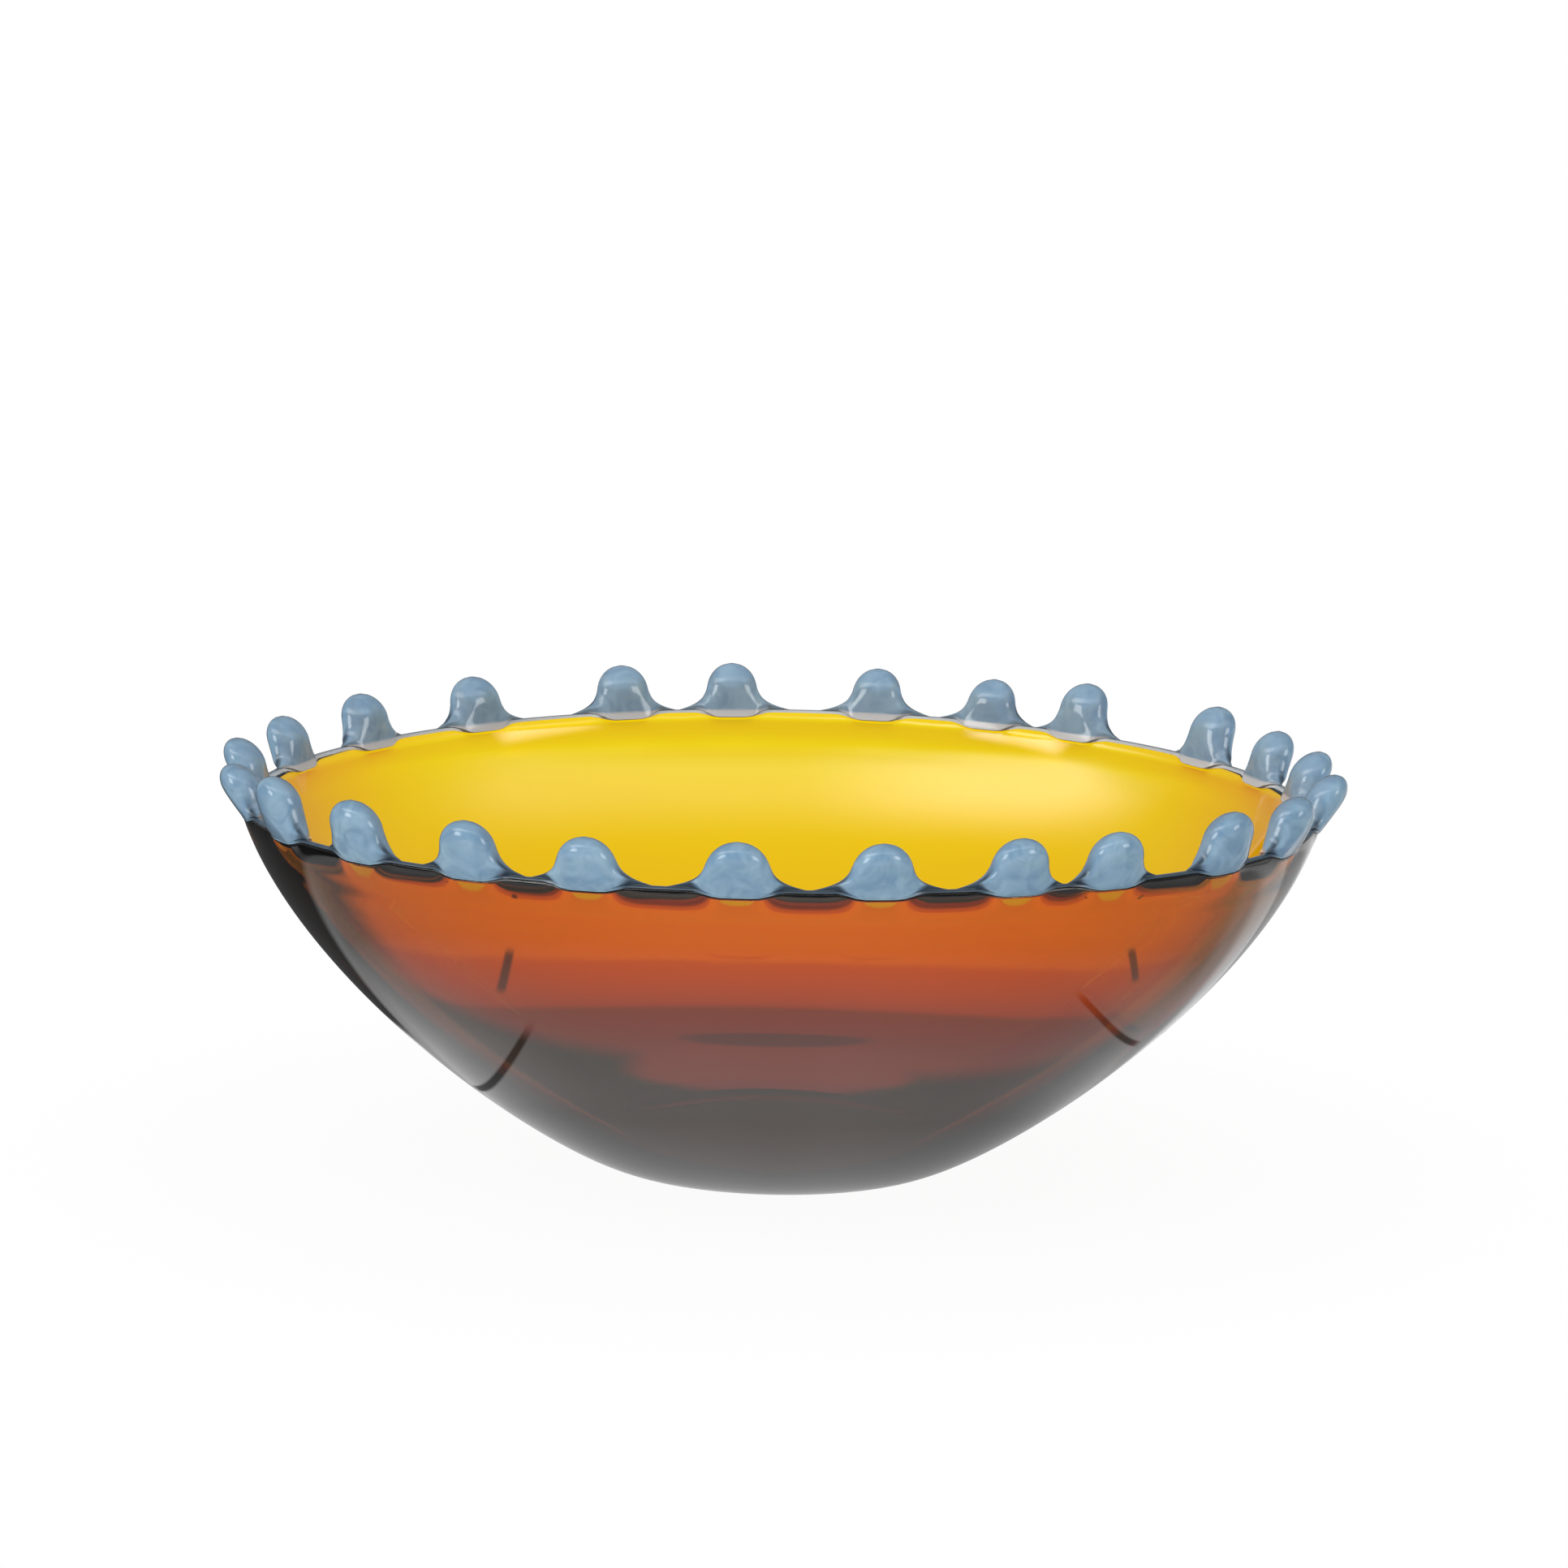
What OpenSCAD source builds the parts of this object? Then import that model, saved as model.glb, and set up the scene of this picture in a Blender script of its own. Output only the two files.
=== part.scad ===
// Art glass bowl: a blown amber bowl with a lip wrap and a ring of rim drops in blue glass.
// The drops were set on by hand, so their places, sizes and leans are uneven.
// The origin is the centre of the flat base, on the surface that the bowl rests on.

/* [Bowl] */
// Outside diameter at the lip
rim_d = 288; // [270:2:306]
// Height of the lip above the surface
lip_h = 98.5; // [92:0.5:108]
// Diameter of the flat ground base
base_d = 88; // [70:1:100]
// Thickness of the wall at the lip
wall = 4.5; // [3.5:0.5:6]
// Thickness of the wall where it leaves the base
heel_wall = 7; // [6:0.5:9]
// Thickness of the glass at the middle of the floor
floor_wall = 5; // [4:0.5:6]

/* [Wall curve] */
// How far the curve runs out from the base before it lifts
heel_reach = 18; // [12:1:24]
// How far it has lifted by then
heel_lift = 3.5; // [2:0.5:6]
// How far the lip stands out from the line of the wall below it
lip_flare = 13; // [8:1:18]
// How far down the flare is felt
lip_reach = 46; // [36:1:54]

/* [Lip wrap] */
// Height of the blue thread along the lip
wrap_h = 2.5; // [2:0.5:3.5]
// How far the thread stands proud of the wall on each side
wrap_proud = 0.4; // [0.2:0.1:0.8]
// Radius of the thread's upper edges
wrap_round = 1.6; // [1:0.2:1.8]

/* [Rim drops] */
// Thickness of a drop from front to back
drop_t = 9.5; // [8:0.5:11]
// Angle by which the drops lean out, in line with the flare of the wall
drop_lean = 23; // [14:1:26]
// Angle by which a drop's sides spread below its round head
drop_spread = 15; // [8:1:20]
// Radius of the hollow where a drop's side runs out into the thread
drop_fillet = 4; // [3:0.5:4.5]

/* [Hidden] */
$fn = 96;
CURVE_STEPS = 28;
ARC_STEPS = 10;
AMBER = "orange";
BLUE = "lightsteelblue";

rim_r = rim_d / 2;
body_top = lip_h - wrap_h;
lip_middle_r = rim_r - wall / 2;
// Depth of glass below the lip that a drop is cut from, so that its base stays flat when it leans
drop_root = 6;
// The foot runs out along the lip only, so it is trimmed to little more than the head's thickness
foot_t = drop_t * 1.06;

// Each drop, counter-clockwise from the right: its place on the lip in degrees, its height and the
// width of its head in millimetres
DROPS = [
    [8, 12.5, 13.5], [20, 13, 13.5], [33, 14.5, 14.5], [53, 14, 14], [65, 12, 13.5], [79, 12.5, 13.5],
    [96, 13, 14], [109, 13, 14.5], [128, 13, 15], [145, 13, 15], [161, 12.5, 14], [176, 12.5, 14],
    [193, 12.5, 14], [208, 15, 14.5], [223, 14, 15.5], [238, 13, 14.5], [251, 11.5, 14.5],
    [266, 12, 15.5], [280, 12, 14.5], [294, 12.5, 14], [305, 12.5, 14.5], [321, 14, 15],
    [335, 13.5, 14], [352, 13, 14]
];

function drop_name(i) = str("rim_drop_", i < 9 ? "0" : "", i + 1);

// The outer wall is one cubic curve from the edge of the base to the lip
OUTER = [
    [base_d / 2, 0],
    [base_d / 2 + heel_reach, heel_lift],
    [rim_r - lip_flare, lip_h - lip_reach],
    [rim_r, lip_h]
];

function cubic(p, t) =
    pow(1 - t, 3) * p[0] + 3 * pow(1 - t, 2) * t * p[1] + 3 * (1 - t) * t * t * p[2] + pow(t, 3) * p[3];
function cubic_slope(p, t) =
    pow(1 - t, 2) * (p[1] - p[0]) + 2 * (1 - t) * t * (p[2] - p[1]) + t * t * (p[3] - p[2]);
function quadratic(p, t) = pow(1 - t, 2) * p[0] + 2 * (1 - t) * t * p[1] + t * t * p[2];
function inward(v) = [-v.y, v.x] / norm(v);
function inner(t) = cubic(OUTER, t) + inward(cubic_slope(OUTER, t)) * (heel_wall + (wall - heel_wall) * t);
function arc(centre, r, from, to) =
    [for (k = [0:ARC_STEPS]) let (a = from + (to - from) * k / ARC_STEPS) centre + r * [cos(a), sin(a)]];

// The floor leaves the axis level and meets the inner wall in line with it
heel_slope = heel_lift / heel_reach;
floor_edge = inner(0);
FLOOR = [
    [0, floor_wall],
    [floor_edge.x - (floor_edge.y - floor_wall) / heel_slope, floor_wall],
    floor_edge
];

module wall_section() {
    steps = [1:CURVE_STEPS];
    polygon(concat(
        [[0, 0], OUTER[0]],
        [for (k = steps) cubic(OUTER, k / CURVE_STEPS)],
        [for (k = steps) inner(1 - (k - 1) / CURVE_STEPS)],
        [for (k = [0:ARC_STEPS]) quadratic(FLOOR, 1 - k / ARC_STEPS)]
    ));
}

module bowl_body() {
    color(AMBER)
        rotate_extrude()
            intersection() {
                wall_section();
                square([rim_d, body_top]);
            }
}

module rim_wrap() {
    inside = rim_r - wall - wrap_proud;
    outside = rim_r + wrap_proud;
    shoulder = lip_h - wrap_round;
    color(BLUE)
        rotate_extrude()
            polygon(concat(
                [[inside, body_top], [outside, body_top]],
                arc([outside - wrap_round, shoulder], wrap_round, 0, 90),
                arc([inside + wrap_round, shoulder], wrap_round, 90, 180)
            ));
}

// A drop before it is flattened: a round head on sides that spread and run out in a hollow foot
module bell(h, w) {
    head_r = w / 2;
    run = (h - head_r - drop_fillet + (head_r + drop_fillet) * sin(drop_spread)) / cos(drop_spread);
    foot_r = (head_r + drop_fillet) * cos(drop_spread) + run * sin(drop_spread);
    rotate_extrude()
        polygon(concat(
            [[0, -drop_root], [foot_r, -drop_root]],
            arc([foot_r, drop_fillet], drop_fillet, 270, 180 + drop_spread),
            arc([0, h - head_r], head_r, drop_spread, 90)
        ));
}

module rim_drop(place, h, w) {
    color(BLUE)
        rotate([0, 0, place])
            intersection() {
                translate([lip_middle_r, 0, lip_h])
                    rotate([0, drop_lean, 0])
                        intersection() {
                            scale([drop_t / w, 1, 1]) bell(h, w);
                            cube([foot_t, rim_d, rim_d], center = true);
                        }
                translate([0, -rim_r, lip_h]) cube(rim_d);
            }
}

bowl_body();
rim_wrap();
for (i = [0:len(DROPS) - 1])
    rim_drop(DROPS[i][0], DROPS[i][1], DROPS[i][2]);
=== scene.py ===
import math

import bmesh
import bpy
import numpy as np
from mathutils import Matrix, Vector, noise


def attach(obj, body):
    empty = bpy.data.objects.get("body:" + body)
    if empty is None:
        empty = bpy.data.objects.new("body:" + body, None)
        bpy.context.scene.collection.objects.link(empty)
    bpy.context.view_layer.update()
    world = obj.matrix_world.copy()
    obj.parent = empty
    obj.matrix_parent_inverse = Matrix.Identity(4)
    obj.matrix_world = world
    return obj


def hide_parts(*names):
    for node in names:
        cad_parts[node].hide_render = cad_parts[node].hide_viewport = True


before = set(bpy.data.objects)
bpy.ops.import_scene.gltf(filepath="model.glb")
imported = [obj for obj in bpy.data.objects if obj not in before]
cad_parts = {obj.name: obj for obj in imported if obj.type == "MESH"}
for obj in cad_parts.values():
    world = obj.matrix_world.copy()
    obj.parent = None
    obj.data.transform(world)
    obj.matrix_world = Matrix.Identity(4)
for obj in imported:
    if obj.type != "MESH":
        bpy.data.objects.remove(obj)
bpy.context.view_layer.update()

MM = 0.001

# ---------------------------------------------------------------- the bowl's measures, in millimetres
RIM_R = 144.0
LIP_H = 98.5
BASE_R = 44.0
WALL, HEEL_WALL, FLOOR_WALL = 4.5, 7.0, 5.0
HEEL_REACH, HEEL_LIFT = 18.0, 3.5       # how far the wall's curve runs out from the base, and lifts by then
LIP_FLARE, LIP_REACH = 13.0, 46.0       # how far the lip stands out from the wall below, and how far down
OUTER = np.array([
    [BASE_R, 0.0],
    [BASE_R + HEEL_REACH, HEEL_LIFT],
    [RIM_R - LIP_FLARE, LIP_H - LIP_REACH],
    [RIM_R, LIP_H],
])
WALL_LEAN = math.atan2(LIP_FLARE, LIP_REACH)    # of the wall at the lip, from upright
MID_R = RIM_R - WALL / 2
AROUND = 384                            # points round the bowl
JOINT_GAP = 0.04                        # between pieces that are fused in the real bowl

# The lip was trued: it dips to the sides and lifts to the front and back
LIP_TILT_X, LIP_TILT_Y, LIP_SADDLE = 0.6, 0.3, -1.3
LIP_HALF = 2.4                          # half the lip's thickness below the taper
LIP_TAPER, BACK_TAPER = 7.5, 3.0        # height over which it thins between the drops, in front and behind
TAPER_TURN = 0.5                        # the sine of the place rises by this from the one taper to the other
LIP_ROUND = 2.4                         # how full the thinned lip's section is: 2 would be an ellipse
LIP_SWELL, SWELL_FALL = 0.35, 1.4       # how much each side swells under a drop, and how soon that fades
LIP_DEPTH, LIP_BLEND = 12.0, 5.0        # the wall turns into the lip above this depth, over this height

# The wall of the body
BASE_RINGS = (0.0, 12.0, 24.0, 34.0, 40.0, BASE_R - 2.2)
BASE_EDGE = (BASE_R - 0.6, 0.06)        # radius and height of the eased edge of the base
WALL_STARTS = 0.035                     # where the wall's first ring lies on its curve, from 0 to 1
WALL_STEPS = np.concatenate([
    np.linspace(WALL_STARTS, 0.3, 16),
    np.linspace(0.3, 0.88, 34)[1:],
    np.linspace(0.88, 1, 26)[1:],
])
TAPER_ABOVE = 0.5                       # the outer face follows its plain curve up to here
FLOOR_STEPS = np.linspace(0.96, 0, 16)
# Waves in the blown wall: size in waves per metre, seed of the noise, height
WAVES = ((14.0, 3.1, 0.25), (40.0, 7.7, 0.03))
WAVES_FULL = 0.03                       # metres above the base from which they have their full height

# The thread
THREAD_H = 0.6                          # height of the blue thread between the drops
THREAD_DIP = 1.4                        # how much lower the blue reaches under a drop
THREAD_THIN = 0.3                       # height of the thread under a drop
THREAD_LEAD = 1.1                       # how much sooner its upper side sinks than its lower side
THREAD_TOP = 0.05                       # least depth of its upper side
THREAD_ROWS, THREAD_CROWD = 9, 1.4      # rows of points up each side, and how they crowd together

# The drops
DROP_T = 11.0                           # thickness from front to back
DROP_LEAN, END_LEAN = 16, 21            # degrees; the drops at the two ends of the view lean out more
AT_END, END_BLEND = 0.93, 0.06          # size of the cosine of the place beyond which a drop is at an end
DROP_SPREAD = 8                         # degrees by which the sides spread below the round head
DROP_TOP = 6.5                          # height over which its rounded top closes, seen from the side
DROP_WAIST = 0.10                       # part of its thickness that it loses towards the lip
DROP_FULL = 0.92                        # how full its section is: 1 would be an ellipse
UNDERCUT = 0.75                         # how fast it swells out from the lip
ROOT_GAP = 0.05                         # how much thicker it is than the lip where they meet
TURN_OUT = 4.0                          # height over which it turns from the wall's lean to its own
FOOT_CORE = 0.25                        # part of the head's width each side of its middle that is all foot
FOOT_RUN = 8.0                          # length along the lip over which a drop's foot dies away
WING_FALL = 1.8                         # height over which a drop's foot dies away along the lip
WING_RUN, WING_SHORT = 9.0, 0.62        # how far the foot runs along the lip, and how much less at the ends
WING_GAP, WING_HEAD = 0.48, 1.1         # it ends at this part of the gap, counted from this part of the head
BEAD, BEAD_FALL = 2.0, 1.4              # a drop's foot laps over the inner edge of the lip as a low bead
BEAD_LEAD = 1.2                         # how much wider than the foot the bead keeps its full height
DROP_POINTS = 64                        # points round a drop
ROOT_RINGS = (0.0, 0.4, 0.75, 0.95)     # rings that close its underside, as parts of its thickness
DROP_ROWS, DROP_CROWD = 36, 1.25        # rings up a drop, and how they crowd towards the lip
LAST_ROW, CAP_ROW = 0.995, 0.997        # parts of the height where those rings end and the last one lies

# Painted light and shade that the blue glass reads from the points: a painted highlight on its inner foot, a
# painted dark line along the lip, and how far a point lies towards the inside, for painted shade on the inner
# side
PALE_FROM, PALE_TO = 0.6, 0.2           # heights between which the painted highlight comes in on a drop's inner foot
PALE_IN = 0.8                           # distance inward over which the painted highlight comes in on a drop's foot
THREAD_PALE = 0.1                       # the painted highlight on the thread starts this far inward of the middle of the wall
DARK_OUT = 0.7                          # the painted dark line lies this far outside the middle of the wall
THREAD_DARK, DROP_DARK = (1.5, 1.2), (1.4, 0.9)     # its strength and width on the thread and on a drop
DARK_ASIDE, DARK_EASE = 0.95, 2.5       # on a drop it starts at this part of the head's half, and eases in
DARK_LOW, DARK_RISE = 0.6, 0.5          # and from this far below the lip it comes in over this height
INNER_SPAN = 2.0                        # distance over which the outside turns into the inside

# place (degrees), height, head width
DROPS = [
    (8, 12.5, 13.5), (20, 13, 13.5), (33, 14.5, 14.5), (53, 14, 14), (65, 12, 13.5), (79, 12.5, 13.5),
    (96, 13, 14), (109, 13, 14.5), (128, 13, 15), (145, 13, 15), (161, 12.5, 14), (176, 12.5, 14),
    (193, 12.5, 14), (208, 15, 14.5), (223, 14, 15.5), (238, 13, 14.5), (251, 11.5, 14.5),
    (266, 12, 15.5), (280, 12, 14.5), (294, 12.5, 14), (305, 12.5, 14.5), (321, 14, 15),
    (335, 13.5, 14), (352, 13, 14),
]

# ---------------------------------------------------------------- curves
def cubic(t):
    t = np.asarray(t, float)[..., None]
    p = OUTER
    return (1 - t) ** 3 * p[0] + 3 * (1 - t) ** 2 * t * p[1] + 3 * (1 - t) * t * t * p[2] + t ** 3 * p[3]


def cubic_slope(t):
    t = np.asarray(t, float)[..., None]
    p = OUTER
    return (1 - t) ** 2 * (p[1] - p[0]) + 2 * (1 - t) * t * (p[2] - p[1]) + t * t * (p[3] - p[2])


def inner(t):
    s = cubic_slope(t)
    inward = np.stack([-s[..., 1], s[..., 0]], -1) / np.linalg.norm(s, axis=-1, keepdims=True)
    thickness = HEEL_WALL + (WALL - HEEL_WALL) * np.asarray(t, float)
    return cubic(t) + inward * thickness[..., None]


def lip(a):
    return LIP_H + LIP_TILT_X * np.cos(a) + LIP_TILT_Y * np.sin(a) + LIP_SADDLE * np.cos(2 * a)


# Heights of the two faces at close places on the curve, to just past the lip
FINE = np.linspace(0, 1.02, 600)
OUT_Z, IN_Z = cubic(FINE)[:, 1], inner(FINE)[:, 1]


def smooth(x):
    x = np.clip(x, 0, 1)
    return x * x * (3 - 2 * x)


def away(a, place):
    """Distance along the lip from one place to another."""
    return np.abs((a - place + math.pi) % (2 * math.pi) - math.pi) * MID_R


def under_drop(a):
    """1 under a drop, 0 midway between drops."""
    k = np.zeros(np.shape(a))
    for place, _, w in DROPS:
        k = np.maximum(k, 1 - smooth((away(a, math.radians(place)) - w * FOOT_CORE) / FOOT_RUN))
    return k


def lip_half(d, k, a):
    """Half the thickness of the lip at depth d below its top and place a; k is 1 under a drop."""
    taper = LIP_TAPER + (BACK_TAPER - LIP_TAPER) * smooth(0.5 + np.sin(a) / TAPER_TURN)
    u = np.clip((taper - d) / taper, 0, 1)
    between = LIP_HALF * (1 - u ** LIP_ROUND) ** (1 / LIP_ROUND)
    below = LIP_HALF + LIP_SWELL * np.exp(-np.maximum(d, 0) / SWELL_FALL)
    return between * (1 - k) + below * k


def thread_bottom(k):
    """Depth at which the blue begins."""
    return THREAD_H + THREAD_DIP * k


def thread_top(k):
    """Depth of the thread's upper side: it all but vanishes under a drop."""
    return (thread_bottom(k) - THREAD_THIN) * smooth(k * THREAD_LEAD)


def waver(x, y, z, scale, seed):
    return noise.noise(Vector((x * scale + seed, y * scale - seed, z * scale)))


def mesh_object(name, co, faces, smooth_faces=True):
    me = bpy.data.meshes.new(name)
    me.from_pydata([tuple(c) for c in co], [], faces)
    me.validate()
    o = bpy.data.objects.new(name, me)
    bpy.context.scene.collection.objects.link(o)
    for p in me.polygons:
        p.use_smooth = smooth_faces
    return o


def weld(o, dist=1e-6):
    bm = bmesh.new()
    bm.from_mesh(o.data)
    bmesh.ops.remove_doubles(bm, verts=bm.verts, dist=dist)
    bmesh.ops.dissolve_degenerate(bm, edges=bm.edges, dist=dist)
    bmesh.ops.recalc_face_normals(bm, faces=bm.faces)
    bm.to_mesh(o.data)
    bm.free()
    for p in o.data.polygons:
        p.use_smooth = True


def put_attributes(o, **values):
    """Per-point numbers from 0 to 1 that the material reads by name."""
    for name, value in values.items():
        o.data.attributes.new(name, "FLOAT", "POINT").data.foreach_set("value", value)


def ring_faces(rings, n, close=False):
    """Quads between successive rings of n points."""
    faces = []
    count = rings if close else rings - 1
    for k in range(count):
        a, b = k * n, ((k + 1) % rings) * n
        for j in range(n):
            j2 = (j + 1) % n
            faces.append((a + j, a + j2, b + j2, b + j))
    return faces


# ---------------------------------------------------------------- the amber body
def build_body():
    ang = np.linspace(0, 2 * math.pi, AROUND, endpoint=False)
    scale = lip(ang) / LIP_H
    k = under_drop(ang)
    top = (lip(ang) - thread_bottom(k) - JOINT_GAP) / scale
    t_out = np.interp(top, OUT_Z, FINE)
    t_in = np.interp(top, IN_Z, FINE)
    rings = []

    def add(r, z):
        r = np.broadcast_to(r, ang.shape)
        z = np.broadcast_to(z, ang.shape) * scale
        rings.append(np.stack([r * np.cos(ang), r * np.sin(ang), z], -1))

    def wall_point(s, side):
        """A point of the wall's outer or inner face, thinned or swelled near the lip."""
        po, pi = cubic(s * t_out), inner(s * t_in)
        mid, arm = (po + pi) / 2, (po - pi) / 2
        half = np.linalg.norm(arm, axis=-1)
        depth = lip(ang) - mid[:, 1] * scale
        near = smooth((LIP_DEPTH - depth) / LIP_BLEND)
        want = half * (1 - near) + lip_half(depth, k, ang) * near
        p = mid + side * arm * (want / half)[:, None]
        if side > 0:
            p = np.where(s < TAPER_ABOVE, po, p)
        return p

    for r in BASE_RINGS:
        add(r, 0.0)
    add(*BASE_EDGE)
    for s in WALL_STEPS:
        p = wall_point(s, 1)
        add(p[:, 0], p[:, 1])
    po, pi = wall_point(1.0, 1), wall_point(1.0, -1)
    for q in (0.25, 0.5, 0.75):
        add(po[:, 0] * (1 - q) + pi[:, 0] * q, po[:, 1] * (1 - q) + pi[:, 1] * q)
    for s in WALL_STEPS[::-1]:
        p = wall_point(s, -1)
        add(p[:, 0], p[:, 1])
    # the floor meets the inner wall in line with it
    edge = inner(np.array([0.0]))[0]
    slope = HEEL_LIFT / HEEL_REACH
    f0 = np.array([0.0, FLOOR_WALL])
    f1 = np.array([edge[0] - (edge[1] - FLOOR_WALL) / slope, FLOOR_WALL])
    for q in FLOOR_STEPS:
        p = (1 - q) ** 2 * f0 + 2 * (1 - q) * q * f1 + q * q * edge
        add(p[0], p[1])
    co = np.concatenate(rings) * MM
    faces = ring_faces(len(rings), AROUND)
    o = mesh_object("amber_bowl", co, faces)
    weld(o)
    # blown and swung glass is never quite true
    for v in o.data.vertices:
        c = v.co
        lift = min(1.0, c.z / WAVES_FULL)
        r = math.hypot(c.x, c.y)
        if r > 1e-6:
            d = sum(waver(c.x, c.y, c.z, scale, seed) * high for scale, seed, high in WAVES) * MM * lift
            v.co.x += d * c.x / r
            v.co.y += d * c.y / r
    return o


# ---------------------------------------------------------------- the blue thread along the lip
def build_thread():
    ang = np.linspace(0, 2 * math.pi, AROUND, endpoint=False)
    k = under_drop(ang)
    lean = math.tan(WALL_LEAN)
    low, high = thread_bottom(k), np.maximum(thread_top(k), THREAD_TOP)
    rings = []
    fractions = 1 - np.cos(np.linspace(0, math.pi / 2, THREAD_ROWS)) ** THREAD_CROWD
    for side, f in [(1, f) for f in fractions] + [(-1, f) for f in fractions[::-1]]:
        depth = low + (high - low) * f
        r = MID_R - depth * lean + side * lip_half(depth, k, ang)
        z = lip(ang) - depth
        rings.append(np.stack([r * np.cos(ang), r * np.sin(ang), z], -1))
    co = np.concatenate(rings) * MM
    o = mesh_object("blue_lip_thread", co, ring_faces(len(rings), AROUND, close=True))
    weld(o)
    at = np.array([v.co for v in o.data.vertices]) / MM
    depth = lip(np.arctan2(at[:, 1], at[:, 0])) - at[:, 2]
    inward = MID_R - depth * lean - np.hypot(at[:, 0], at[:, 1])
    # a painted dark line just outside the middle of the lip, a painted highlight on the thread's inner side,
    # and the inward measure for painted shade
    strength, width = THREAD_DARK
    dark = smooth(strength - np.abs(inward + DARK_OUT) / width)
    put_attributes(o, pale=smooth(inward - THREAD_PALE), dark=dark, inner=smooth(inward / INNER_SPAN + 0.5))
    return o


# ---------------------------------------------------------------- the rim drops
def neighbours(i):
    """Distances along the lip to the next drop and to the one before."""
    n = len(DROPS)
    left = (DROPS[(i + 1) % n][0] - DROPS[i][0]) % 360
    right = (DROPS[i][0] - DROPS[i - 1][0]) % 360
    return math.radians(left) * MID_R, math.radians(right) * MID_R


def build_drop(i):
    place, h, w = DROPS[i]
    a0 = math.radians(place)
    gap_l, gap_r = neighbours(i)
    head, n = w / 2, DROP_POINTS
    phi = np.linspace(0, 2 * math.pi, n, endpoint=False)
    cosp, sinp = np.cos(phi), np.sin(phi)
    head_from = h - head
    depth_from = h - DROP_TOP
    lean = DROP_LEAN + (END_LEAN - DROP_LEAN) * smooth((abs(math.cos(a0)) - AT_END) / END_BLEND)
    lean_low, lean_high = math.tan(WALL_LEAN), math.tan(math.radians(lean))

    def half_width(s, gap):
        wing = min(gap * WING_GAP - head * WING_HEAD, WING_RUN * (1 - WING_SHORT * math.cos(a0) ** 2))
        if s >= head_from:
            core = head * math.sqrt(max(0.0, 1 - ((s - head_from) / head) ** 2))
        else:
            core = head + (head_from - s) * math.tan(math.radians(DROP_SPREAD))
        return core + wing * math.exp(-s / WING_FALL) * min(1.0, (h - s) / head)

    def half_depth(s):
        b = DROP_T / 2
        if s >= depth_from:
            return b * math.sqrt(max(0.0, 1 - ((s - depth_from) / DROP_TOP) ** 2))
        return b * (1 - DROP_WAIST * (1 - s / depth_from) ** 2)

    rings = []

    def ring(s, squeeze=1.0):
        x = np.where(cosp > 0, half_width(s, gap_l) * cosp, half_width(s, gap_r) * cosp)
        a = a0 + x / MID_R
        k = under_drop(a)
        full = half_depth(s) * np.abs(sinp) ** DROP_FULL
        # near the lip a drop is no thicker than the lip, and it swells from there
        cap = lip_half(thread_top(k), k, a) + ROOT_GAP + UNDERCUT * s
        cap = cap + np.where(sinp < 0, BEAD * math.exp(-s / BEAD_FALL) * smooth(k * BEAD_LEAD), 0.0)
        y = full * cap / (full ** 4 + cap ** 4) ** 0.25
        z = s - thread_top(k) * max(0.0, 1 - s / TURN_OUT) + JOINT_GAP
        lean_here = lean_low + (lean_high - lean_low) * min(1.0, s / TURN_OUT)
        out = np.where(z > 0, z * lean_here, z * lean_low)
        r = MID_R + np.sign(sinp) * y * squeeze + out
        zz = lip(a) + z
        rings.append(np.stack([r * np.cos(a), r * np.sin(a), zz], -1))

    for q in ROOT_RINGS:
        ring(0.0, q)
    for s in h * np.linspace(0, 1, DROP_ROWS) ** DROP_CROWD:
        if s < h * LAST_ROW:
            ring(s)
    ring(h * CAP_ROW)
    tip = lip(a0) + h
    tip_r = MID_R + h * lean_high
    rings.append(np.tile([tip_r * math.cos(a0), tip_r * math.sin(a0), tip], (n, 1)))
    co = np.concatenate(rings) * MM
    o = mesh_object(f"blue_drop_{i + 1:02d}", co, ring_faces(len(rings), n))
    weld(o, 2e-6)
    # the side towards the inside of the bowl has a painted highlight at its foot, for the light from above
    # caught there, and a painted dark line runs along the lip beside the head
    at = np.array([v.co for v in o.data.vertices]) / MM
    a = np.arctan2(at[:, 1], at[:, 0])
    z = at[:, 2] - lip(a)
    inward = MID_R + z * np.where(z > 0, lean_high, lean_low) - np.hypot(at[:, 0], at[:, 1])
    pale = smooth((PALE_FROM - z) / (PALE_FROM - PALE_TO)) * smooth(inward / PALE_IN)
    strength, width = DROP_DARK
    dark = smooth(strength - np.abs(inward + DARK_OUT) / width)
    dark = dark * smooth((away(a, a0) - head * DARK_ASIDE) / DARK_EASE) * smooth((z + DARK_LOW) / DARK_RISE)
    put_attributes(o, pale=pale, dark=dark, inner=smooth(inward / INNER_SPAN + 0.5))
    return o


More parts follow.
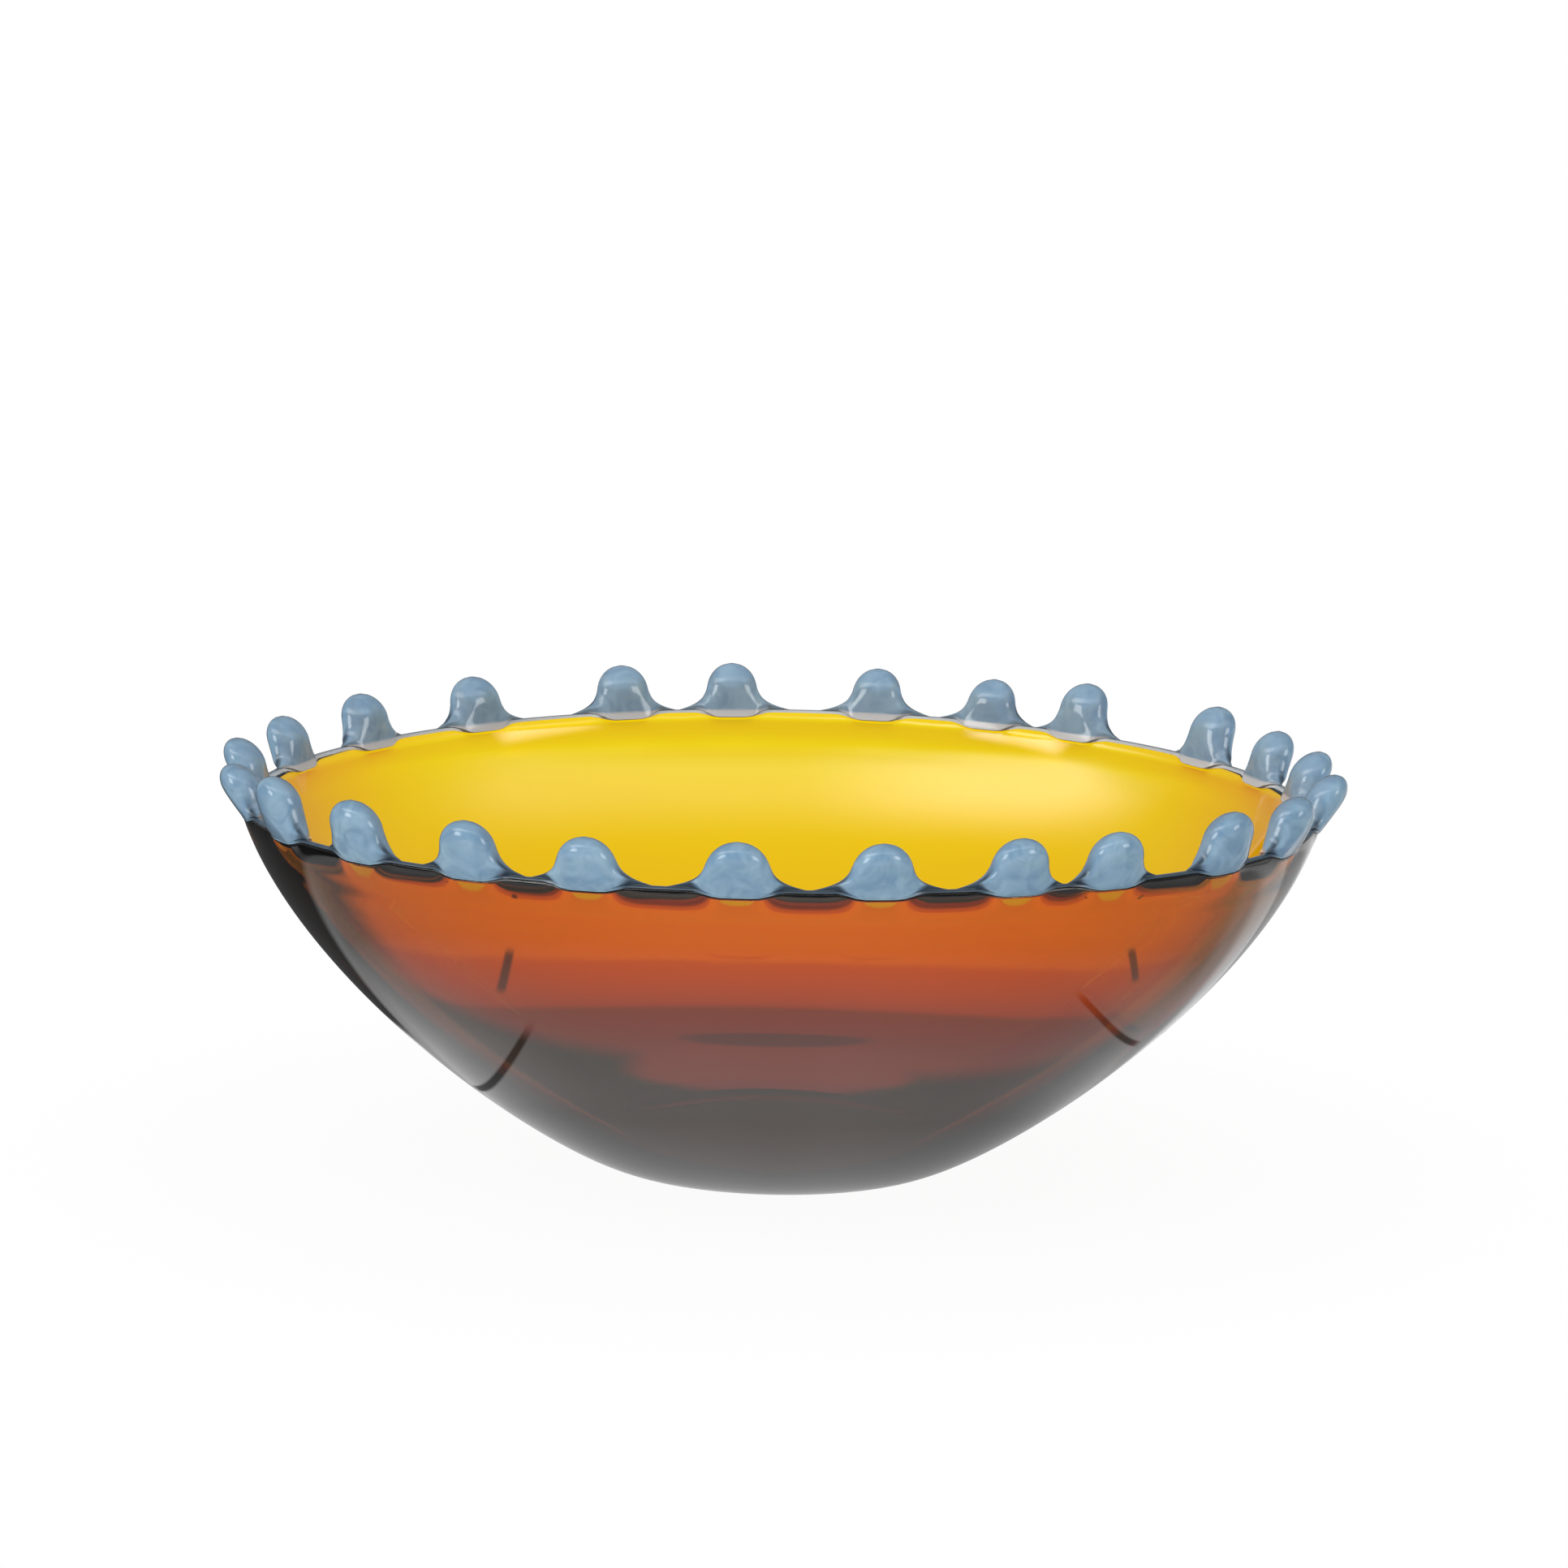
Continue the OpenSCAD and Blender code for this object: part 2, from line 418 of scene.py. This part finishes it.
# ---------------------------------------------------------------- materials
class Nodes:
    """Short ways to add and join the arithmetic nodes of one node tree."""

    def __init__(self, tree):
        self.tree = tree

    def put(self, n, key, value):
        """Link a socket, or set a plain value, at an input given by its name or number."""
        socket = n.inputs[int(key)] if key.isdigit() else n.inputs[key]
        if isinstance(value, bpy.types.NodeSocket):
            self.tree.links.new(value, socket)
        else:
            socket.default_value = value

    def math(self, op, *values):
        n = self.tree.nodes.new("ShaderNodeMath")
        n.operation = op
        for k, v in enumerate(values):
            self.put(n, str(k), v)
        return n.outputs[0]

    def dot(self, a, b):
        n = self.tree.nodes.new("ShaderNodeVectorMath")
        n.operation = "DOT_PRODUCT"
        self.put(n, "0", a)
        self.put(n, "1", b)
        return n.outputs["Value"]

    def blend(self, fac, a, b):
        n = self.tree.nodes.new("ShaderNodeMix")
        n.data_type = "RGBA"
        n.clamp_result = False
        for key, value in (("Factor", fac), ("6", a), ("7", b)):
            self.put(n, key, value)
        return n.outputs[2]

    def product(self, a, b):
        n = self.tree.nodes.new("ShaderNodeVectorMath")
        n.operation = "MULTIPLY"
        self.tree.links.new(a, n.inputs[0])
        self.tree.links.new(b, n.inputs[1])
        return n.outputs[0]

    def ramp(self, value, stops):
        """A colour ramp from (place, colour) stops; brightness may pass 1."""
        peak = max(max(c) for _, c in stops)
        n = self.tree.nodes.new("ShaderNodeValToRGB")
        self.tree.links.new(value, n.inputs["Fac"])
        els = n.color_ramp.elements
        while len(els) < len(stops):
            els.new(1.0)
        for el, (place, colour) in zip(els, stops):
            el.position = place
            el.color = (*[c / peak for c in colour], 1)
        scale = self.tree.nodes.new("ShaderNodeVectorMath")
        scale.operation = "SCALE"
        self.tree.links.new(n.outputs["Color"], scale.inputs[0])
        scale.inputs["Scale"].default_value = peak
        return scale.outputs["Vector"]

    def step(self, value, start, end, low=0.0, high=1.0):
        n = self.tree.nodes.new("ShaderNodeMapRange")
        n.interpolation_type = "SMOOTHSTEP"
        ends = (("From Min", start), ("From Max", end), ("To Min", low), ("To Max", high))
        for key, v in (("Value", value), *ends):
            self.put(n, key, v)
        return n.outputs[0]


WHITE = (1, 1, 1, 1)


def new_material(name):
    m = bpy.data.materials.new(name)
    m.use_nodes = True
    nt = m.node_tree
    nt.nodes.clear()
    out = nt.nodes.new("ShaderNodeOutputMaterial")
    bsdf = nt.nodes.new("ShaderNodeBsdfPrincipled")
    nt.links.new(bsdf.outputs[0], out.inputs["Surface"])
    return m, nt, bsdf, out


def absorption(nt, out, per_metre):
    """A plain absorption volume from its red, green and blue coefficients."""
    density = max(per_metre)
    v = nt.nodes.new("ShaderNodeVolumeAbsorption")
    v.inputs["Color"].default_value = (*[1 - c / density for c in per_metre], 1)
    v.inputs["Density"].default_value = density
    nt.links.new(v.outputs[0], out.inputs["Volume"])


AMBER_ABSORBS = (75.0, 160.0, 1500.0)
AMBER_IOR, BLUE_IOR = 1.52, 1.5
WIPE_SCALE, WIPE_DETAIL, WIPE_FROM, WIPE_ROUGH = 30, 6, (0.45, 0.8), 0.010
BLUE_ABSORBS = (130.0, 70.0, 35.0)
BLUE_CLEAR, BLUE_ROUGH = 0.36, 0.07
CLOUD_SCALE, CLOUD_DETAIL, CLOUD_SWIRL = 140, 3, 1.2
CLOUDS = [(0.35, (0.31, 0.53, 0.75)), (0.68, (0.49, 0.75, 0.95))]
# Painted shade on the blue glass: at its edges seen edge on, on its inner side, and as a dark line along the
# lip
EDGE_ON, EDGE_DARK = (0.64, 1.0), 0.80
INNER_SHADE, INNER_SHARE = (0.45, 0.51, 0.60, 1), 0.3
EDGE_SHADE = (0.07, 0.10, 0.13, 1)
LINE_SHADE, LINE_SHARE = (0.03, 0.04, 0.06, 1), 0.85


def amber_glass():
    m, nt, b, out = new_material("amber_glass")
    b.inputs["Base Color"].default_value = WHITE
    b.inputs["Transmission Weight"].default_value = 1
    b.inputs["IOR"].default_value = AMBER_IOR
    absorption(nt, out, AMBER_ABSORBS)
    # fire-polished, with faint wipe marks
    tex = nt.nodes.new("ShaderNodeTexNoise")
    tex.inputs["Scale"].default_value = WIPE_SCALE
    tex.inputs["Detail"].default_value = WIPE_DETAIL
    ramp = nt.nodes.new("ShaderNodeMapRange")
    ramp.inputs["From Min"].default_value, ramp.inputs["From Max"].default_value = WIPE_FROM
    ramp.inputs["To Min"].default_value = 0.0
    ramp.inputs["To Max"].default_value = WIPE_ROUGH
    nt.links.new(tex.outputs[0], ramp.inputs["Value"])
    nt.links.new(ramp.outputs[0], b.inputs["Roughness"])
    return m


def blue_glass():
    m, nt, b, out = new_material("blue_glass")
    n = Nodes(nt)
    b.inputs["Transmission Weight"].default_value = BLUE_CLEAR
    b.inputs["IOR"].default_value = BLUE_IOR
    b.inputs["Roughness"].default_value = BLUE_ROUGH
    absorption(nt, out, BLUE_ABSORBS)
    # milky glass: soft clouds, with painted shade where it is seen edge on and on its inner side, a painted
    # dark line along the lip, and a painted highlight on the inner foot
    tex = nt.nodes.new("ShaderNodeTexNoise")
    tex.inputs["Scale"].default_value = CLOUD_SCALE
    tex.inputs["Detail"].default_value = CLOUD_DETAIL
    tex.inputs["Distortion"].default_value = CLOUD_SWIRL
    nt.links.new(nt.nodes.new("ShaderNodeTexCoord").outputs["Object"], tex.inputs["Vector"])
    cloud = n.ramp(tex.outputs[0], CLOUDS)
    # painted shade where the glass is seen edge on, for the dark surroundings its edges show
    facing = nt.nodes.new("ShaderNodeLayerWeight")
    facing.inputs["Blend"].default_value = 0.5
    edge = n.step(facing.outputs["Facing"], *EDGE_ON, 0.0, EDGE_DARK)

    def attribute(name):
        node = nt.nodes.new("ShaderNodeAttribute")
        node.attribute_name = name
        return node.outputs["Fac"]

    # painted shade: the inner side of each drop and of the thread is darker, as it is less lit
    toned = n.blend(n.math("MULTIPLY", attribute("inner"), INNER_SHARE), cloud, INNER_SHADE)
    toned = n.blend(edge, toned, EDGE_SHADE)
    # painted dark line along the lip, for the dark surroundings seen at the lip's edge
    toned = n.blend(n.math("MULTIPLY", attribute("dark"), LINE_SHARE), toned, LINE_SHADE)
    # painted highlight: the base colour turns white at the inner foot
    nt.links.new(n.blend(attribute("pale"), toned, WHITE), b.inputs["Base Color"])
    return m


# ---------------------------------------------------------------- the pieces, each on the one body
def hand_in(piece, material, node):
    piece.data.materials.append(material)
    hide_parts(node)
    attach(piece, "root")


AMBER, BLUE = amber_glass(), blue_glass()
hand_in(build_body(), AMBER, "bowl_body")
hand_in(build_thread(), BLUE, "rim_wrap")
for i in range(len(DROPS)):
    hand_in(build_drop(i), BLUE, f"rim_drop_{i + 1:02d}")

# ---------------------------------------------------------------- studio
# The camera sees a plain white table and a white room. Rays that have met the glass see neither: to them the
# table has the painted pattern below, painted light and shade for the bowl's coloured shadow and dark
# surroundings, and the room is dim, with one soft box and two narrow lights. The dark lower wall, the streaks
# and the seams in the glass come from that pattern, and not from the glass. It was tuned by trial against the
# real bowl's colours. With the table's emission plain white instead, they all go.
scene = bpy.context.scene
scene.view_settings.view_transform = "Standard"

TABLE_HALF, TABLE_DROP = 8.0, 0.0002    # half its side, and how far it lies below the base
TABLE_GREY, TABLE_ROUGH, TABLE_GLOSS = (0.6, 0.6, 0.6, 1), 0.9, 0.1
RAMP_REACH = 0.80                       # the ramps below run from the bowl's axis to this radius
# The pattern seen through the glass, behind the bowl, painted light and shadow for the bowl's coloured shadow
# on the table: radius and colour
WARM = (
    (0.027, (0.04, 0.01, 0.01)), (0.038, (0.46, 0.08, 0.04)), (0.084, (0.46, 0.08, 0.05)),
    (0.100, (0.42, 0.07, 0.05)), (0.120, (0.46, 0.09, 0.05)), (0.138, (0.48, 0.13, 0.06)),
    (0.145, (0.90, 0.26, 0.12)), (0.168, (1.16, 0.36, 0.16)), (0.195, (1.32, 0.44, 0.20)),
    (0.204, (1.62, 0.70, 0.50)), (0.250, (1.60, 0.76, 0.60)), (0.330, (1.42, 0.66, 0.45)),
    (0.352, (1.36, 1.34, 1.30)), (0.600, (1.34, 1.48, 1.35)), (0.760, (1.18, 1.12, 1.00)),
    (0.800, (1.10, 1.05, 0.95)),
)
WARM_FROM, WARM_TILT = (0.054, 0.080), 0.21     # how far behind the axis the warm part starts, and its slant
TONGUE_HALF, TONGUE_FROM = (0.050, 0.036), (0.030, 0.042)   # it reaches nearer in a tongue behind the base
TONGUE_BOW = 9.0                                # the tongue's near edge is bowed
WARM_LEFT, WARM_RIGHT = (-0.115, -0.085), (0.135, 0.095)
WARM_SPLAY = 0.28                               # the lit part spreads sideways with distance
WIDEN_FROM, WIDEN = 0.25, 0.25                  # and spreads faster beyond this distance
END_FROM, END_TINT = (0.13, 0.22), (0.94, 0.60, 0.30)       # the far ends of the inside look deeper in colour
END_BEYOND = (0.28, 0.34)
SPILL_RIGHT, SPILL = (0.105, 0.135), 0.42       # plain light on the table to the right
UNLIT = 0.01                                    # the rest of the table
# Rays that have only gone straight through also see it warm in front and at the sides
AROUND_Y, AROUND_X, AROUND_SPLAY = (-0.045, -0.120), (0.150, 0.190), -0.20
# and those through one wall only, with fewer crossings than this, see the colours beyond this radius
ONE_WALL, ONE_WALL_FROM = 2.5, 0.36
# The painted pattern that the glass reflects, painted shade round the bowl: radius and grey, dim at the
# sides, with a dark patch of painted shadow at the left
PLAIN = (
    (0.052, 0.80), (0.078, 0.82), (0.092, 1.04), (0.110, 1.14), (0.138, 0.92),
    (0.158, 0.74), (0.176, 0.52), (0.220, 0.56), (0.300, 0.80), (0.500, 1.30),
)
FADE_LEFT, FADE_RIGHT = (-0.85, -0.15, 0.72, 1.0), (0.15, 0.95, 1.0, 0.56)     # it fades towards both sides
PLAIN_UNTIL, PLAIN_AGAIN, SIDE_PLAIN = (0.020, 0.050), (0.35, 0.25), 0.50
BAND, BAND_START, BAND_END = 0.40, (0.060, 0.100), (0.175, 0.150)   # a brighter band across the right
PATCH_X, PATCH_Y, PATCH = (-0.105, -0.125), (0.046, 0.068), 0.07
# Two thin painted dark lines run from front to back across the table, for the dark gaps between the lights
# that the glass shows
DARK_STREAKS = (-0.0885, 0.1205)
STREAK_HALF, STREAK_KEEP = (0.0022, 0.0008), 0.2
STREAK_NEAR, STREAK_FAR = ((-0.085, -0.065), (0.045, 0.020)), ((0.125, 0.140), (0.200, 0.180))
LENS_AT, LENS_HALF, LENS_KEEP = (0.0, 0.101), (0.031, 0.0085), 0.45   # a dark lens of painted shadow in the warm part
LENS_EDGE = (0.6, 1.2)
SHADOW_REACH, SHADOW_KEEP = (0.05, 0.26), 0.95  # the camera sees a faint shadow under the bowl


def table_material():
    m, nt, b, out = new_material("table_white")
    n = Nodes(nt)
    b.inputs["Base Color"].default_value = TABLE_GREY
    b.inputs["Roughness"].default_value = TABLE_ROUGH
    b.inputs["Specular IOR Level"].default_value = TABLE_GLOSS
    coord = nt.nodes.new("ShaderNodeTexCoord").outputs["Object"]
    length = nt.nodes.new("ShaderNodeVectorMath")
    length.operation = "LENGTH"
    nt.links.new(coord, length.inputs[0])
    far = length.outputs["Value"]
    split = nt.nodes.new("ShaderNodeSeparateXYZ")
    nt.links.new(coord, split.inputs[0])
    x, y = split.outputs[0], split.outputs[1]
    aside = n.math("ABSOLUTE", x)
    path = nt.nodes.new("ShaderNodeLightPath").outputs
    across = n.math("DIVIDE", far, RAMP_REACH)
    straight = n.math("LESS_THAN", path["Glossy Depth"], 0.5)
    one_wall = n.math("MULTIPLY", straight, n.math("LESS_THAN", path["Transmission Depth"], ONE_WALL))

    # seen through the glass
    least = n.math("MULTIPLY", one_wall, ONE_WALL_FROM / RAMP_REACH)
    warm = n.ramp(n.math("MAXIMUM", across, least), [(r / RAMP_REACH, c) for r, c in WARM])
    ends = n.math("MULTIPLY", n.step(aside, *END_FROM), n.step(y, *END_BEYOND))
    warm = n.product(warm, n.blend(ends, WHITE, (*END_TINT, 1)))
    lens = 0.0
    for v, centre, half in zip((x, y), LENS_AT, LENS_HALF):
        offset = n.math("DIVIDE", n.math("SUBTRACT", v, centre), half)
        lens = n.math("ADD", lens, n.math("MULTIPLY", offset, offset))
    warm = n.product(warm, n.math("MAXIMUM", one_wall, n.step(lens, *LENS_EDGE, LENS_KEEP, 1.0)))
    lit = n.step(n.math("MULTIPLY_ADD", x, WARM_TILT, y), *WARM_FROM)
    widen = n.math("MULTIPLY", n.math("MAXIMUM", n.math("SUBTRACT", y, WIDEN_FROM), 0.0), WIDEN)
    widen = n.math("MULTIPLY_ADD", y, WARM_SPLAY, widen)
    lit = n.math("MULTIPLY", lit, n.step(n.math("ADD", x, widen), *WARM_LEFT))
    lit = n.math("MULTIPLY", lit, n.step(n.math("SUBTRACT", x, widen), *WARM_RIGHT))
    bowed = n.math("MULTIPLY_ADD", n.math("MULTIPLY", x, x), -TONGUE_BOW, y)
    tongue = n.math("MULTIPLY", n.step(aside, *TONGUE_HALF), n.step(bowed, *TONGUE_FROM))
    lit = n.math("MAXIMUM", lit, tongue)
    splayed = n.math("MULTIPLY_ADD", n.math("MAXIMUM", y, 0.0), AROUND_SPLAY, aside)
    around = n.math("MAXIMUM", n.step(y, *AROUND_Y), n.step(splayed, *AROUND_X))
    around = n.math("MULTIPLY", around, straight)
    lit = n.math("MAXIMUM", lit, n.math("MAXIMUM", around, one_wall))
    unlit = n.math("MAXIMUM", n.math("MULTIPLY", n.step(x, *SPILL_RIGHT), SPILL), UNLIT)
    through = n.blend(lit, unlit, warm)

    # reflected in it
    plain = n.ramp(across, [(r / RAMP_REACH, (v, v, v)) for r, v in PLAIN])
    heading = n.math("DIVIDE", x, far)
    plain = n.product(plain, n.math("MULTIPLY", n.step(heading, *FADE_LEFT), n.step(heading, *FADE_RIGHT)))
    band = n.math("MULTIPLY", n.step(y, *BAND_START), n.step(y, *BAND_END))
    side = n.math("MULTIPLY_ADD", band, BAND, SIDE_PLAIN)
    plain = n.blend(n.math("MULTIPLY", n.step(y, *PLAIN_UNTIL), n.step(y, *PLAIN_AGAIN)), plain, side)
    patch = n.math("MULTIPLY", n.step(x, *PATCH_X), n.step(y, *PATCH_Y))
    plain = n.blend(patch, plain, (PATCH, PATCH, PATCH, 1))
    seen = n.blend(path["Is Transmission Ray"], plain, through)

    streak = 0.0
    for place in DARK_STREAKS:
        streak = n.math("ADD", streak, n.step(n.math("ABSOLUTE", n.math("SUBTRACT", x, place)), *STREAK_HALF))
    reach = 0.0
    for start, end in (STREAK_NEAR, STREAK_FAR):
        reach = n.math("ADD", reach, n.math("MULTIPLY", n.step(y, *start), n.step(y, *end)))
    streak = n.math("MULTIPLY", streak, n.math("SUBTRACT", reach, one_wall))
    streak = n.math("MAXIMUM", streak, 0.0)
    kept = n.math("MULTIPLY_ADD", streak, STREAK_KEEP - 1.0, 1.0)
    seen = n.product(seen, kept)

    emit = nt.nodes.new("ShaderNodeEmission")
    nt.links.new(n.blend(path["Is Camera Ray"], seen, WHITE), emit.inputs["Color"])
    mix = nt.nodes.new("ShaderNodeMixShader")
    shown = n.step(far, *SHADOW_REACH, SHADOW_KEEP, 1.0)
    nt.links.new(n.math("MAXIMUM", shown, n.math("SUBTRACT", 1.0, path["Is Camera Ray"])), mix.inputs[0])
    nt.links.new(b.outputs[0], mix.inputs[1])
    nt.links.new(emit.outputs[0], mix.inputs[2])
    nt.links.new(mix.outputs[0], out.inputs["Surface"])
    return m


def make_table():
    t = TABLE_HALF
    table = mesh_object("table", [(-t, -t, 0), (t, -t, 0), (t, t, 0), (-t, t, 0)], [(0, 1, 2, 3)], False)
    table.location.z = -TABLE_DROP
    table.data.materials.append(table_material())


make_table()

# One long soft box curves over the front of the bowl, brighter towards the left. It is a band round an axis:
# the cosines from that axis between which it shines, where it ends across and behind the view, its brightness
BOX_AXIS = (-0.026, 0.383, 0.923)
BOX_UNDER, BOX_OVER = (0.34, 0.48), (0.74, 0.56)
BOX_LEFT_END, BOX_RIGHT_END, BOX_BEHIND = (-0.92, -0.82), (0.92, 0.72), (0.35, -0.15)
BOX_BRIGHT, BOX_EXTRA, BOX_EXTRA_FROM = 1.15, 2.5, (0.0, -0.60)
# Tall narrow lights at the sides: heading, cosines from it, the heights they span, and brightness
STRIPS = (
    ((-0.85, -0.52), (0.965, 0.990), (0.10, 0.18), (0.52, 0.44), 6.0),
    ((0.85, -0.52), (0.965, 0.990), (0.10, 0.18), (0.52, 0.44), 5.0),
)
WORLD_BASE = 0.25


def make_world():
    world = bpy.data.worlds.new("studio")
    world.use_nodes = True
    wt = world.node_tree
    wn = Nodes(wt)
    bg = wt.nodes["Background"]
    bg.inputs["Color"].default_value = WHITE
    sky = wt.nodes.new("ShaderNodeTexCoord").outputs["Generated"]
    from_axis, sideways = wn.dot(sky, BOX_AXIS), wn.dot(sky, (1, 0, 0))
    box = wn.math("MULTIPLY", wn.step(from_axis, *BOX_UNDER), wn.step(from_axis, *BOX_OVER))
    box = wn.math("MULTIPLY", box, wn.step(wn.dot(sky, (0, 1, 0)), *BOX_BEHIND))
    for end in (BOX_LEFT_END, BOX_RIGHT_END):
        box = wn.math("MULTIPLY", box, wn.step(sideways, *end))
    bright = wn.step(sideways, *BOX_EXTRA_FROM, BOX_BRIGHT, BOX_BRIGHT + BOX_EXTRA)
    total = wn.math("MULTIPLY_ADD", box, bright, WORLD_BASE)
    level = wt.nodes.new("ShaderNodeVectorMath")
    level.operation = "MULTIPLY"
    wn.put(level, "0", sky)
    wn.put(level, "1", (1, 1, 0))
    heading = wt.nodes.new("ShaderNodeVectorMath")
    heading.operation = "NORMALIZE"
    wn.put(heading, "0", level.outputs[0])
    up = wn.dot(sky, (0, 0, 1))
    for (hx, hy), spread, low, high, strip_bright in STRIPS:
        towards = tuple(Vector((hx, hy, 0)).normalized())
        strip = wn.step(wn.dot(heading.outputs[0], towards), *spread, 0.0, strip_bright)
        strip = wn.math("MULTIPLY", strip, wn.math("MULTIPLY", wn.step(up, *low), wn.step(up, *high)))
        total = wn.math("ADD", total, strip)
    # the camera itself sees white
    seen_direct = wt.nodes.new("ShaderNodeLightPath").outputs["Is Camera Ray"]
    unseen = wn.math("MULTIPLY", wn.math("SUBTRACT", 1.0, seen_direct), total)
    wt.links.new(wn.math("ADD", seen_direct, unseen), bg.inputs["Strength"])
    scene.world = world


make_world()

# ---------------------------------------------------------------- camera
CAM_AT = Vector((0.0, -1.4050, 0.3364))
CAM_AIM = Vector((0.00076, 0.0, 0.10168))
CAM_ROLL = math.radians(-1.3)
CAM_LENS, CAM_SENSOR = 122.7, 36


def make_camera():
    cam_data = bpy.data.cameras.new("camera")
    cam_data.lens = CAM_LENS
    cam_data.sensor_width = CAM_SENSOR
    cam = bpy.data.objects.new("camera", cam_data)
    scene.collection.objects.link(cam)
    cam.location = CAM_AT
    aim = (CAM_AIM - CAM_AT).to_track_quat("-Z", "Y")
    cam.rotation_euler = (aim.to_matrix() @ Matrix.Rotation(-CAM_ROLL, 3, "Z")).to_euler()
    scene.camera = cam


make_camera()
